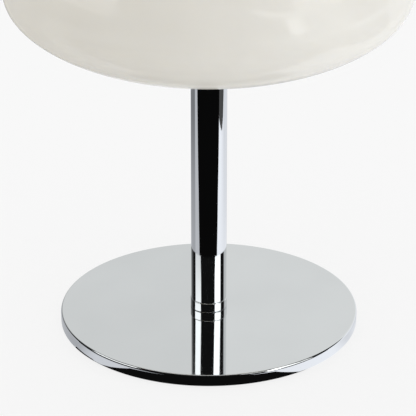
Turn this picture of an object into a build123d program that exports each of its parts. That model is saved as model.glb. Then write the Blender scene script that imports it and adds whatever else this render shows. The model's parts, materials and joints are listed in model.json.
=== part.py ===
from build123d import *
from math import acos, degrees, pi, sqrt
import os

# Glass table lamp in millimetres. The stem's axis is Z, the table is z = 0, and the front is -Y.

# Clearances
FIT = 0.05
LOOSE = 0.3
SLIDE = 0.5

# Base plate and its pad
BASE_DIAMETER = 210.0
BASE_ROOF = 1.4
BASE_EDGE = 1.2
BASE_FOOT_EDGE = 0.6
PAD_THICKNESS = 1.0
PAD_INSET = 7.0

# Cord gland in the rear rim
CORD_BORE = 5.3
GLAND_SIDE_WALL = 0.75
GLAND_FLOOR = 0.6
GLAND_LENGTH = 16.0
GLAND_PROUD = 0.8

# Foot collar and its screws
COLLAR_STEP = 0.4
COLLAR_HEIGHT = 7.0
COLLAR_CHAMFER = 0.3
SPIGOT_LENGTH = 14.0
WIRE_BORE = 8.0
SCREW_COUNT = 3
SCREW_DIAMETER = 4.0
SCREW_HEAD = 7.4
SCREW_BITE = 5.0
SCREW_TIP_ROOM = 1.0
SCREW_SOCKET = 2.5
SCREW_SOCKET_DEPTH = 1.3

# Stem tube, its top plug and the threaded nipple
STEM_DIAMETER = 25.0
STEM_WALL = 1.5
STEM_LENGTH = 175.0
PLUG_LENGTH = 15.0
NIPPLE_DIAMETER = 10.0
NIPPLE_BORE = 7.0
NIPPLE_TAIL = 2.0

# Gallery, gasket and clamping nut
GALLERY_THICKNESS = 2.5
GALLERY_EDGE = 0.8
PILOT_HEIGHT = 6.0
GASKET_THICKNESS = 1.5
WASHER_DIAMETER = 18.0
WASHER_THICKNESS = 0.8
NUT_FLATS = 14.0
NUT_THICKNESS = 3.0
NUT_CHAMFER = 0.5

# Glass shade
SHADE_DIAMETER = 274.0
SHADE_BELLY = 53.7
SHADE_WALL = 4.0
SEAT_WIDTH = 8.0
MOUTH_CLEARANCE = 3.5
MOUTH_EDGE = 1.0
POLE_RADIUS = 2.0
HEADROOM = 4.5

# Lampholder
HOLDER_DIAMETER = 26.8
HOLDER_WALL = 1.5
NECK_WALL = 3.0
NECK_FLOOR = 2.0
CONE_HEIGHT = 4.0
WIRING_ROOM = 7.0
LEDGE_WIDTH = 1.3
INSERT_HEIGHT = 10.0
CAP_RISE = 5.0
LAP_HEIGHT = 3.0
LAP_WALL = 0.7
RIM_THICKNESS = 1.0
SHELL_WALL = 0.6
SHELL_FOOT = 1.6
SHELL_HEIGHT = 20.0
HOLDER_EDGE = 0.6
GRUB_DIAMETER = 2.5
GRUB_MARGIN = 0.75
GRUB_SOCKET = 1.3
GRUB_SOCKET_DEPTH = 1.0

# Terminals and the centre contact
TERMINAL_SPACING = 12.0
BLOCK_WIDTH = 5.0
BLOCK_FLOOR = 1.6
CLAMP_DIAMETER = 2.6
CLAMP_HEAD = 4.4
CLAMP_HEAD_HEIGHT = 1.2
CLAMP_SLOT = 0.6
CLAMP_SLOT_DEPTH = 0.6
CLAMP_INSET = 0.4
SPRING_THICKNESS = 0.4
SPRING_WIDTH = 3.0
SPRING_RISE = 1.7
SPRING_CROWN = 2.4

# Bulb with a small screw cap
BULB_DIAMETER = 45.0
BULB_LENGTH = 78.0
GLOBE_WALL = 1.2
THREAD_DIAMETER = 13.7
THREAD_DEPTH = 0.8
THREAD_PITCH = 2.822
THREAD_TURNS = 4
BULB_CAP_WALL = 0.5
CAP_COLLAR = 3.8
CAP_FLOOR_RING = 1.9
TIP_DIAMETER = 4.8
TIP_HEIGHT = 1.15
INSULATOR_CONE = 1.8
INSULATOR_PLUG = 2.0
HOUSING_GAP = 1.0
HOUSING_NECK = 16.4
HOUSING_WALL = 1.4
HOUSING_SPIGOT = 8.0
HOUSING_RIM = 3.0
GLOBE_OPENING = 35.0
BOARD_THICKNESS = 1.2
CHIP_COUNT = 8
CHIP_RING = 20.0
CHIP_SIZE = (2.8, 3.5, 0.7)
DRIVER_WIDTH = 7.6
DRIVER_THICKNESS = 1.2
CAPACITOR_DIAMETER = 5.0
CAPACITOR_LENGTH = 8.0
CHOKE_DIAMETER = 4.4
CHOKE_LENGTH = 5.0
DRIVER_PART_DROP = 2.0

# Wiring in the stem
WIRE_DIAMETER = 2.2
WIRE_GAP = 0.6
WIRE_SPREAD = 9.2
WIRE_FAN = 26.0
WIRE_TAIL = 45.0
WIRE_BEND = 3.0
WIRE_STRAIGHT = 1.4
WIRE_SWEEP = 60.0
CRIMP_DIAMETER = 6.4
CRIMP_LENGTH = 18.0
CRIMP_DEPTH = 8.0

# Heights of the base, stem and gallery
plate_bottom = PAD_THICKNESS
slot_width = CORD_BORE + 2 * GLAND_SIDE_WALL
slot_depth = GLAND_FLOOR + CORD_BORE + GLAND_SIDE_WALL
base_thickness = slot_depth + BASE_ROOF
plate_top = plate_bottom + base_thickness
collar_top = plate_top + COLLAR_HEIGHT
stem_top = collar_top + STEM_LENGTH
gallery_top = stem_top + GALLERY_THICKNESS
seat_z = gallery_top + GASKET_THICKNESS
pilot_top = gallery_top + PILOT_HEIGHT
nut_bottom = pilot_top + WASHER_THICKNESS
holder_bottom = nut_bottom + NUT_THICKNESS

# Radii of the base, stem and gallery
base_radius = BASE_DIAMETER / 2
stem_radius = STEM_DIAMETER / 2
stem_bore = stem_radius - STEM_WALL
collar_radius = stem_radius + COLLAR_STEP
wire_bore = WIRE_BORE / 2
screw_radius = SCREW_DIAMETER / 2
screw_ring = (wire_bore + collar_radius) / 2
nipple_radius = NIPPLE_DIAMETER / 2
nipple_bore = NIPPLE_BORE / 2
mouth_radius = BULB_DIAMETER / 2 + MOUTH_CLEARANCE
seat_radius = mouth_radius + SEAT_WIDTH
pilot_radius = mouth_radius - SLIDE

# Heights of the lampholder
neck_top = holder_bottom + GRUB_DIAMETER + 2 * GRUB_MARGIN
cavity_floor = neck_top + NECK_FLOOR
cone_top = neck_top + CONE_HEIGHT
insert_bottom = cavity_floor + WIRING_ROOM
insert_top = insert_bottom + INSERT_HEIGHT
cap_top = insert_bottom + CAP_RISE
shell_top = insert_top + SHELL_HEIGHT
holder_top = shell_top + RIM_THICKNESS

# Radii of the lampholder
holder_radius = HOLDER_DIAMETER / 2
holder_bore = holder_radius - HOLDER_WALL
neck_radius = nipple_radius + NECK_WALL
insert_radius = holder_bore - LOOSE
ledge_radius = holder_bore - LEDGE_WIDTH
thread_radius = THREAD_DIAMETER / 2
shell_bore = thread_radius + LOOSE
shell_radius = shell_bore + SHELL_WALL
shell_foot_radius = shell_radius + SHELL_FOOT

# Heights and radii of the bulb
spring_top = insert_top + SPRING_RISE
tip_bottom = spring_top + FIT
insulator_bottom = tip_bottom + TIP_HEIGHT
bulb_cap_bottom = insulator_bottom + INSULATOR_CONE
housing_bottom = holder_top + HOUSING_GAP
thread_root = thread_radius - THREAD_DEPTH
bulb_cap_bore = thread_root - BULB_CAP_WALL
plug_radius = bulb_cap_bore - CAP_FLOOR_RING
bulb_radius = BULB_DIAMETER / 2
bulb_top = tip_bottom + BULB_LENGTH
globe_centre = bulb_top - bulb_radius
globe_inner = bulb_radius - GLOBE_WALL
opening_radius = GLOBE_OPENING / 2
globe_bottom = globe_centre - sqrt(bulb_radius**2 - opening_radius**2)
board_bottom = globe_bottom - HOUSING_RIM
board_top = board_bottom + BOARD_THICKNESS
board_seat = opening_radius - HOUSING_WALL
board_ledge = board_seat - HOUSING_WALL

# Shape of the shade: a low belly and a taller crown over the raised bulb
bulb_lift = THREAD_TURNS * THREAD_PITCH
shade_radius = SHADE_DIAMETER / 2
equator_z = seat_z + SHADE_BELLY * sqrt(1 - (seat_radius / shade_radius)**2)
crown_height = bulb_top + bulb_lift + HEADROOM + SHADE_WALL - equator_z


def section(*points):
    """A closed outline of (radius, height) points for turning about the stem's axis."""
    with BuildSketch(Plane.XZ) as outline:
        with BuildLine():
            Polyline(*points, close=True)
        make_face()
    return outline.sketch


def tube(inner, outer, bottom, top):
    """The outline of a plain ring, from its radii and heights."""
    return section((inner, bottom), (outer, bottom), (outer, top), (inner, top))


def wire_route(side):
    """One wire's corners, from its terminal down through the nipple to its crimp cap."""
    near = side * (WIRE_DIAMETER + WIRE_GAP) / 2
    terminal = side * TERMINAL_SPACING / 2
    far = side * WIRE_SPREAD / 2
    fan_top = stem_top - PLUG_LENGTH - NIPPLE_TAIL
    return [
        (terminal, 0, wire_top),
        (terminal, 0, insert_bottom - WIRE_STRAIGHT),
        (near, 0, cavity_floor + WIRE_GAP),
        (near, 0, fan_top),
        (far, 0, fan_top - WIRE_FAN),
        (far, 0, wire_end),
    ]


# Base plate: a turned disc with a cord slot underneath, a wire hole and countersunk holes
with BuildPart() as base_plate:
    revolve(tube(wire_bore, base_radius, plate_bottom, plate_top), axis=Axis.Z)
    rims = base_plate.edges().filter_by(GeomType.CIRCLE).group_by(SortBy.RADIUS)[-1]
    lower_rim, upper_rim = rims.sort_by(Axis.Z)
    fillet(upper_rim, BASE_EDGE)
    fillet(lower_rim, BASE_FOOT_EDGE)
    with BuildSketch(Plane.XY.offset(plate_bottom)):
        with Locations((0, base_radius / 2)):
            Rectangle(slot_width, base_radius)
    extrude(amount=slot_depth, mode=Mode.SUBTRACT)
    with Locations(Plane.XY.offset(plate_bottom).rotated((180, 0, 0))):
        with PolarLocations(screw_ring, SCREW_COUNT, start_angle=90):
            CounterSinkHole(screw_radius + FIT, SCREW_HEAD / 2 + FIT)

# Soft pad that hides the slot and the screws
with BuildPart() as base_pad:
    revolve(tube(0, base_radius - PAD_INSET, 0, PAD_THICKNESS), axis=Axis.Z)

# Nylon gland that fills the mouth of the slot, with the cord's round bore
gland_end = base_radius + GLAND_PROUD
cord_z = plate_bottom + GLAND_FLOOR + CORD_BORE / 2
with BuildPart() as cord_gland:
    with BuildSketch(Plane.XZ.offset(-gland_end)):
        with Locations((0, plate_bottom + slot_depth / 2)):
            Rectangle(slot_width - 2 * FIT, slot_depth - 2 * FIT)
        with Locations((0, cord_z)):
            Circle(CORD_BORE / 2, mode=Mode.SUBTRACT)
    extrude(amount=GLAND_LENGTH)

# Foot collar: a turned boss with a spigot for the tube and three tapped holes
with BuildPart() as foot_collar:
    revolve(tube(wire_bore, collar_radius, plate_top, collar_top), axis=Axis.Z)
    rims = foot_collar.edges().filter_by(GeomType.CIRCLE).group_by(SortBy.RADIUS)[-1]
    chamfer(rims, COLLAR_CHAMFER)
    revolve(tube(wire_bore, stem_bore - FIT, collar_top, collar_top + SPIGOT_LENGTH), axis=Axis.Z)
    with BuildSketch(Plane.XY.offset(plate_top)):
        with PolarLocations(screw_ring, SCREW_COUNT, start_angle=-90):
            Circle(screw_radius + FIT)
    extrude(amount=SCREW_BITE + SCREW_TIP_ROOM, mode=Mode.SUBTRACT)

# Countersunk screws with hexagon sockets
screw_length = base_thickness + SCREW_BITE
head_height = SCREW_HEAD / 2 - screw_radius
with BuildPart() as foot_screws:
    with BuildSketch(Plane.XY.offset(plate_bottom)):
        with PolarLocations(screw_ring, SCREW_COUNT, start_angle=-90):
            Circle(screw_radius)
    extrude(amount=screw_length)
    with PolarLocations(screw_ring, SCREW_COUNT, start_angle=-90):
        with Locations((0, 0, plate_bottom)):
            Cone(SCREW_HEAD / 2, screw_radius, head_height, align=(Align.CENTER, Align.CENTER, Align.MIN))
    with BuildSketch(Plane.XY.offset(plate_bottom)):
        with PolarLocations(screw_ring, SCREW_COUNT, start_angle=-90):
            RegularPolygon(SCREW_SOCKET / 2, 6, major_radius=False)
    extrude(amount=SCREW_SOCKET_DEPTH, mode=Mode.SUBTRACT)

# Stem tube
with BuildPart() as stem_tube:
    revolve(tube(stem_bore, stem_radius, collar_top, stem_top), axis=Axis.Z)

# Plug in the top of the stem, tapped for the nipple
with BuildPart() as stem_top_plug:
    plug_bottom = stem_top - PLUG_LENGTH
    revolve(tube(nipple_radius + FIT, stem_bore - FIT, plug_bottom, stem_top), axis=Axis.Z)

# Hollow nipple from the plug up into the lampholder
with BuildPart() as threaded_nipple:
    nipple_bottom = plug_bottom + NIPPLE_TAIL
    revolve(tube(nipple_bore, nipple_radius, nipple_bottom, cavity_floor), axis=Axis.Z)

# Gallery disc with the pilot that stands in the mouth of the glass
with BuildPart() as shade_gallery:
    revolve(
        section(
            (nipple_radius + FIT, stem_top),
            (seat_radius, stem_top),
            (seat_radius, gallery_top),
            (pilot_radius, gallery_top),
            (pilot_radius, pilot_top),
            (nipple_radius + FIT, pilot_top),
        ),
        axis=Axis.Z,
    )
    circles = shade_gallery.edges().filter_by(GeomType.CIRCLE)
    fillet(circles.group_by(SortBy.RADIUS)[-1], GALLERY_EDGE)
    pilot_rim = shade_gallery.edges().filter_by(GeomType.CIRCLE).group_by(Axis.Z)[-1]
    fillet(pilot_rim.sort_by(SortBy.RADIUS)[-1], GALLERY_EDGE)

# Silicone ring under the glass
with BuildPart() as gallery_gasket:
    revolve(tube(pilot_radius + LOOSE, seat_radius, gallery_top, seat_z), axis=Axis.Z)

# Washer and thin hexagon nut that clamp the gallery
with BuildPart() as lock_washer:
    revolve(tube(nipple_radius + FIT, WASHER_DIAMETER / 2, pilot_top, nut_bottom), axis=Axis.Z)

with BuildPart() as nipple_nut:
    with BuildSketch(Plane.XY.offset(nut_bottom)):
        RegularPolygon(NUT_FLATS / 2, 6, major_radius=False)
        Circle(nipple_radius + FIT, mode=Mode.SUBTRACT)
    extrude(amount=NUT_THICKNESS)
    corners = Cone(
        NUT_FLATS / 2 + NUT_THICKNESS - NUT_CHAMFER,
        NUT_FLATS / 2 - NUT_CHAMFER,
        NUT_THICKNESS,
        align=(Align.CENTER, Align.CENTER, Align.MIN),
        mode=Mode.PRIVATE,
    )
    add(Pos(0, 0, nut_bottom) * corners, mode=Mode.INTERSECT)

# Opal glass shade: two half ellipses outside and inside, ground flat where it stands
inner_radius = shade_radius - SHADE_WALL
inner_belly = SHADE_BELLY - SHADE_WALL
inner_crown = crown_height - SHADE_WALL
with BuildPart() as glass_shade:
    with BuildSketch(Plane.XZ) as shade_outline:
        with BuildLine():
            centre = (0, equator_z)
            seat_angle = degrees(acos(seat_radius / shade_radius))
            mouth_angle = degrees(acos(mouth_radius / inner_radius))
            belly = EllipticalCenterArc(centre, shade_radius, SHADE_BELLY, -seat_angle, arc_size=seat_angle)
            crown_angle = degrees(acos(POLE_RADIUS / shade_radius))
            inner_crown_angle = degrees(acos(POLE_RADIUS / inner_radius))
            crown = EllipticalCenterArc(centre, shade_radius, crown_height, arc_size=crown_angle)
            inner_belly_arc = EllipticalCenterArc(
                centre, inner_radius, inner_belly, -mouth_angle, arc_size=mouth_angle
            )
            inner_crown_arc = EllipticalCenterArc(
                centre, inner_radius, inner_crown, arc_size=inner_crown_angle
            )
            pole = crown @ 1
            inner_pole = inner_crown_arc @ 1
            Polyline(pole, (0, pole.Y), (0, inner_pole.Y), inner_pole)
            Polyline(inner_belly_arc @ 0, (mouth_radius, seat_z), belly @ 0)
        make_face()
        mouth_corners = shade_outline.vertices().group_by(Axis.X)[2]
        fillet(mouth_corners, MOUTH_EDGE)
    revolve(axis=Axis.Z)

# Lampholder cap: neck on the nipple, cone, wiring room and the lap that the skirt screws on
lap_radius = holder_bore + LAP_WALL
with BuildPart() as holder_cap:
    revolve(
        section(
            (nipple_radius + FIT, holder_bottom),
            (neck_radius, holder_bottom),
            (neck_radius, neck_top),
            (holder_radius, cone_top),
            (holder_radius, cap_top),
            (lap_radius, cap_top),
            (lap_radius, cap_top + LAP_HEIGHT),
            (holder_bore, cap_top + LAP_HEIGHT),
            (holder_bore, insert_bottom),
            (ledge_radius, insert_bottom),
            (ledge_radius, cone_top),
            (neck_radius, cavity_floor),
            (nipple_radius + FIT, cavity_floor),
        ),
        axis=Axis.Z,
    )
    grub_z = (holder_bottom + neck_top) / 2
    with BuildSketch(Plane.XZ):
        with Locations((0, grub_z)):
            Circle(GRUB_DIAMETER / 2)
    extrude(amount=neck_radius, mode=Mode.SUBTRACT)

# Small set screw in the neck, pressing on the nipple from the front
with BuildPart() as holder_grub_screw:
    with BuildSketch(Plane.XZ.offset(nipple_radius + FIT)):
        with Locations((0, grub_z)):
            Circle(GRUB_DIAMETER / 2 - FIT)
    extrude(amount=NECK_WALL - FIT)
    with BuildSketch(Plane.XZ.offset(neck_radius)):
        with Locations((0, grub_z)):
            RegularPolygon(GRUB_SOCKET / 2, 6, major_radius=False)
    extrude(amount=-GRUB_SOCKET_DEPTH, mode=Mode.SUBTRACT)

# Lampholder skirt: outer sleeve with a rim over the screw shell
with BuildPart() as holder_skirt:
    revolve(
        section(
            (lap_radius + FIT, cap_top),
            (holder_radius, cap_top),
            (holder_radius, holder_top),
            (shell_bore, holder_top),
            (shell_bore, shell_top),
            (holder_bore, shell_top),
            (holder_bore, cap_top + LAP_HEIGHT + LOOSE),
            (lap_radius + FIT, cap_top + LAP_HEIGHT + LOOSE),
        ),
        axis=Axis.Z,
    )
    rims = holder_skirt.edges().filter_by(GeomType.CIRCLE).group_by(Axis.Z)[-1]
    fillet(rims.sort_by(SortBy.RADIUS)[-1], HOLDER_EDGE)

# Places of the terminals, one on each side of the axis
terminal_x = TERMINAL_SPACING / 2
block_bottom = insert_bottom + BLOCK_FLOOR
clamp_z = (block_bottom + insert_top) / 2
block_outer = terminal_x + BLOCK_WIDTH / 2
block_inner = terminal_x - BLOCK_WIDTH / 2
wire_radius = WIRE_DIAMETER / 2
wire_hole = wire_radius + FIT
wire_top = clamp_z + CLAMP_DIAMETER / 2
head_outer = insert_radius - CLAMP_INSET
head_inner = head_outer - CLAMP_HEAD_HEIGHT

# Insert with a pocket for each terminal block, wire holes, screw holes and the contact's slot
with BuildPart() as holder_insert:
    revolve(tube(0, insert_radius, insert_bottom, insert_top), axis=Axis.Z)
    with BuildSketch(Plane.XY.offset(insert_top)):
        with GridLocations(TERMINAL_SPACING, 0, 2, 1):
            Rectangle(BLOCK_WIDTH + 2 * FIT, BLOCK_WIDTH + 2 * FIT)
    extrude(amount=block_bottom - insert_top, mode=Mode.SUBTRACT)
    with BuildSketch(Plane.XY.offset(insert_bottom)):
        with GridLocations(TERMINAL_SPACING, 0, 2, 1):
            Circle(wire_hole)
    extrude(amount=BLOCK_FLOOR, mode=Mode.SUBTRACT)
    with BuildSketch(Plane.YZ.offset(-insert_radius)):
        with Locations((0, clamp_z)):
            Circle(CLAMP_HEAD / 2 + FIT)
    extrude(amount=insert_radius - head_inner, mode=Mode.SUBTRACT)
    with BuildSketch(Plane.YZ.offset(insert_radius)):
        with Locations((0, clamp_z)):
            Circle(CLAMP_HEAD / 2 + FIT)
    extrude(amount=head_inner - insert_radius, mode=Mode.SUBTRACT)
    for side in (-1, 1):
        with BuildSketch(Plane.YZ.offset(side * head_inner)):
            with Locations((0, clamp_z)):
                Circle(CLAMP_DIAMETER / 2 + FIT)
        extrude(amount=side * (block_outer - head_inner), mode=Mode.SUBTRACT)
    with BuildSketch(Plane.XY.offset(insert_top)):
        with Locations((block_inner - SPRING_THICKNESS / 2, 0)):
            Rectangle(SPRING_THICKNESS + 2 * FIT, SPRING_WIDTH + 2 * FIT)
    extrude(amount=block_bottom - insert_top, mode=Mode.SUBTRACT)

# Brass terminal blocks, each cross-drilled for its wire and its screw
with BuildPart() as terminal_blocks:
    with BuildSketch(Plane.XY.offset(block_bottom)):
        with GridLocations(TERMINAL_SPACING, 0, 2, 1):
            Rectangle(BLOCK_WIDTH, BLOCK_WIDTH)
            Circle(wire_hole, mode=Mode.SUBTRACT)
    extrude(amount=insert_top - block_bottom)
    for side in (-1, 1):
        with BuildSketch(Plane.YZ.offset(side * terminal_x)):
            with Locations((0, clamp_z)):
                Circle(CLAMP_DIAMETER / 2 + FIT)
        extrude(amount=side * BLOCK_WIDTH, mode=Mode.SUBTRACT)

# Slotted clamp screws, pressing on the wires from both sides
with BuildPart() as terminal_screws:
    clamp_tip = terminal_x + wire_radius + FIT
    for side in (-1, 1):
        with BuildSketch(Plane.YZ.offset(side * clamp_tip)):
            with Locations((0, clamp_z)):
                Circle(CLAMP_DIAMETER / 2)
        extrude(amount=side * (head_inner - clamp_tip))
        with BuildSketch(Plane.YZ.offset(side * head_inner)):
            with Locations((0, clamp_z)):
                Circle(CLAMP_HEAD / 2)
        extrude(amount=side * CLAMP_HEAD_HEIGHT)
        with BuildSketch(Plane.YZ.offset(side * head_outer)):
            with Locations((0, clamp_z)):
                Rectangle(CLAMP_HEAD, CLAMP_SLOT)
        extrude(amount=-side * CLAMP_SLOT_DEPTH, mode=Mode.SUBTRACT)

# Screw shell that takes the bulb's cap and stands on the insert
shell_hole = block_inner + LOOSE
with BuildPart() as screw_shell:
    revolve(
        section(
            (shell_hole, insert_top),
            (shell_foot_radius, insert_top),
            (shell_foot_radius, insert_top + SHELL_WALL),
            (shell_radius, insert_top + SHELL_WALL),
            (shell_radius, shell_top),
            (shell_bore, shell_top),
            (shell_bore, insert_top + SHELL_WALL),
            (shell_hole, insert_top + SHELL_WALL),
        ),
        axis=Axis.Z,
    )

# Springy centre contact: a leg down to its terminal block and a crown under the bulb's tip
leg_bottom = block_bottom + LOOSE
crown_start = SPRING_CROWN / 2
with BuildPart() as centre_contact:
    with BuildSketch(Plane.XZ.offset(-SPRING_WIDTH / 2)):
        with BuildLine():
            Polyline(
                (block_inner, leg_bottom),
                (block_inner, insert_top + SPRING_THICKNESS),
                (crown_start, spring_top),
                (-crown_start, spring_top),
                (-block_inner, insert_top + SPRING_THICKNESS),
                (-block_inner, insert_top),
                (-crown_start, spring_top - SPRING_THICKNESS),
                (crown_start, spring_top - SPRING_THICKNESS),
                (block_inner - SPRING_THICKNESS, insert_top),
                (block_inner - SPRING_THICKNESS, leg_bottom),
                close=True,
            )
        make_face()
    extrude(amount=SPRING_WIDTH)

# Bulb's screw cap: a thin shell with rounded thread ridges
ridge_start = bulb_cap_bottom + THREAD_PITCH / 2
ridge_end = ridge_start + THREAD_TURNS * THREAD_PITCH
with BuildPart() as bulb_cap:
    with BuildSketch(Plane.XZ):
        with BuildLine():
            Polyline(
                (thread_root, ridge_start),
                (thread_root, bulb_cap_bottom),
                (plug_radius + FIT, bulb_cap_bottom),
                (plug_radius + FIT, bulb_cap_bottom + BULB_CAP_WALL),
                (bulb_cap_bore, bulb_cap_bottom + BULB_CAP_WALL),
                (bulb_cap_bore, housing_bottom),
                (thread_radius, housing_bottom),
                (thread_radius, housing_bottom - CAP_COLLAR),
                (thread_root, ridge_end),
            )
            for turn in range(THREAD_TURNS):
                low = ridge_start + turn * THREAD_PITCH
                ThreePointArc(
                    (thread_root, low),
                    (thread_radius, low + THREAD_PITCH / 2),
                    (thread_root, low + THREAD_PITCH),
                )
        make_face()
    revolve(axis=Axis.Z)

# Glass insulator in the cap's floor, and the soldered tip
with BuildPart() as bulb_insulator:
    revolve(
        section(
            (0, insulator_bottom),
            (TIP_DIAMETER / 2, insulator_bottom),
            (thread_root, bulb_cap_bottom),
            (plug_radius, bulb_cap_bottom),
            (plug_radius, bulb_cap_bottom + INSULATOR_PLUG),
            (0, bulb_cap_bottom + INSULATOR_PLUG),
        ),
        axis=Axis.Z,
    )

with BuildPart() as bulb_tip:
    revolve(tube(0, TIP_DIAMETER / 2, tip_bottom, insulator_bottom), axis=Axis.Z)
    fillet(bulb_tip.edges().group_by(Axis.Z)[0], TIP_HEIGHT / 2)

# Moulded housing between the cap and the globe, with a ledge for the light board
neck_bore = bulb_cap_bore - HOUSING_WALL
with BuildPart() as bulb_housing:
    revolve(
        section(
            (bulb_cap_bore - FIT, housing_bottom - HOUSING_SPIGOT),
            (bulb_cap_bore - FIT, housing_bottom),
            (HOUSING_NECK / 2, housing_bottom),
            (opening_radius, board_bottom),
            (opening_radius, globe_bottom),
            (board_seat, globe_bottom),
            (board_seat, board_bottom),
            (board_ledge, board_bottom),
            (neck_bore, housing_bottom + HOUSING_WALL),
            (neck_bore, housing_bottom - HOUSING_SPIGOT),
        ),
        axis=Axis.Z,
    )

# Round diffuser, open where it stands on the housing
with BuildPart() as bulb_globe:
    opening_angle = degrees(acos(opening_radius / bulb_radius))
    inner_opening = sqrt(globe_inner**2 - (globe_centre - globe_bottom)**2)
    inner_angle = degrees(acos(inner_opening / globe_inner))
    with BuildSketch(Plane.XZ):
        with BuildLine():
            outer_arc = CenterArc((0, globe_centre), bulb_radius, -opening_angle, opening_angle + 90)
            inner_arc = CenterArc((0, globe_centre), globe_inner, -inner_angle, inner_angle + 90)
            Line(outer_arc @ 0, inner_arc @ 0)
            Line(outer_arc @ 1, inner_arc @ 1)
        make_face()
    revolve(axis=Axis.Z)

# Light board and its ring of chips
with BuildPart() as led_board:
    revolve(tube(0, board_seat - FIT, board_bottom, board_top), axis=Axis.Z)

with BuildPart() as led_chips:
    chip_width, chip_length, chip_height = CHIP_SIZE
    with BuildSketch(Plane.XY.offset(board_top)):
        with PolarLocations(CHIP_RING / 2, CHIP_COUNT):
            Rectangle(chip_width, chip_length)
    extrude(amount=chip_height)

# Upright driver board in the housing, with its capacitor and choke
driver_bottom = housing_bottom - HOUSING_SPIGOT
with BuildPart() as driver_board:
    with BuildSketch(Plane.XY.offset(driver_bottom)):
        Rectangle(DRIVER_WIDTH, DRIVER_THICKNESS)
    extrude(amount=board_bottom - driver_bottom)

with BuildPart() as driver_components:
    parts_top = board_bottom - DRIVER_PART_DROP
    capacitor_y = (DRIVER_THICKNESS + CAPACITOR_DIAMETER) / 2
    choke_y = (DRIVER_THICKNESS + CHOKE_DIAMETER) / 2
    with BuildSketch(Plane.XY.offset(parts_top)):
        with Locations((0, capacitor_y)):
            Circle(CAPACITOR_DIAMETER / 2)
    extrude(amount=-CAPACITOR_LENGTH)
    with BuildSketch(Plane.XY.offset(parts_top)):
        with Locations((0, -choke_y)):
            Circle(CHOKE_DIAMETER / 2)
    extrude(amount=-CHOKE_LENGTH)

# Crimp caps that join the wires to the mains cord in the foot of the stem
crimp_top = collar_top + WIRE_TAIL
wire_end = crimp_top - CRIMP_DEPTH
with BuildPart() as crimp_caps:
    with BuildSketch(Plane.XY.offset(crimp_top)):
        with GridLocations(WIRE_SPREAD, 0, 2, 1):
            Circle(CRIMP_DIAMETER / 2)
    extrude(amount=-CRIMP_LENGTH)
    with BuildSketch(Plane.XY.offset(crimp_top)):
        with GridLocations(WIRE_SPREAD, 0, 2, 1):
            Circle(wire_hole)
    extrude(amount=-CRIMP_DEPTH, mode=Mode.SUBTRACT)

# The two insulated wires
wire_radii = [WIRE_BEND, WIRE_BEND, WIRE_SWEEP, WIRE_SWEEP]
with BuildPart() as live_wire:
    with BuildLine() as live_path:
        FilletPolyline(*wire_route(1), radius=wire_radii)
    with BuildSketch(Plane(origin=live_path.line @ 0, z_dir=live_path.line % 0)):
        Circle(wire_radius)
    sweep()

with BuildPart() as neutral_wire:
    with BuildLine() as neutral_path:
        FilletPolyline(*wire_route(-1), radius=wire_radii)
    with BuildSketch(Plane(origin=neutral_path.line @ 0, z_dir=neutral_path.line % 0)):
        Circle(wire_radius)
    sweep()

wire_section = pi * wire_radius**2
for label, wire, path in (("live", live_wire, live_path), ("neutral", neutral_wire, neutral_path)):
    length = path.wire().length
    ratio = wire.part.volume / (wire_section * length)
    print(f"{label} wire: {length:.1f} mm, bends {wire_radii}, volume ratio {ratio:.4f}")
print(f"seat {seat_z:.2f}, equator {equator_z:.2f}, bulb top {bulb_top:.2f}, lift {bulb_lift:.2f}")
print(f"total height {equator_z + crown_height:.2f}, cord bore centre {cord_z:.2f}")

# Write one file for each piece
pieces = {
    "base_plate": base_plate,
    "base_pad": base_pad,
    "cord_gland": cord_gland,
    "foot_collar": foot_collar,
    "foot_screws": foot_screws,
    "stem_tube": stem_tube,
    "stem_top_plug": stem_top_plug,
    "threaded_nipple": threaded_nipple,
    "shade_gallery": shade_gallery,
    "gallery_gasket": gallery_gasket,
    "lock_washer": lock_washer,
    "nipple_nut": nipple_nut,
    "glass_shade": glass_shade,
    "holder_cap": holder_cap,
    "holder_grub_screw": holder_grub_screw,
    "holder_skirt": holder_skirt,
    "holder_insert": holder_insert,
    "terminal_blocks": terminal_blocks,
    "terminal_screws": terminal_screws,
    "screw_shell": screw_shell,
    "centre_contact": centre_contact,
    "bulb_cap": bulb_cap,
    "bulb_insulator": bulb_insulator,
    "bulb_tip": bulb_tip,
    "bulb_housing": bulb_housing,
    "bulb_globe": bulb_globe,
    "led_board": led_board,
    "led_chips": led_chips,
    "driver_board": driver_board,
    "driver_components": driver_components,
    "crimp_caps": crimp_caps,
    "live_wire": live_wire,
    "neutral_wire": neutral_wire,
}
os.makedirs("parts", exist_ok=True)
for name, piece in pieces.items():
    piece.part.label = name
    export_step(piece.part, f"parts/{name}.step")
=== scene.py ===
"""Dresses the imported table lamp: glass shade, chrome, lampholder and bulb, in a plain studio."""
import json
from math import acos, asin, atan2, cos, pi, radians, sin, sqrt, tan

import bmesh
import bpy
from mathutils import Matrix, Vector


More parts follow.
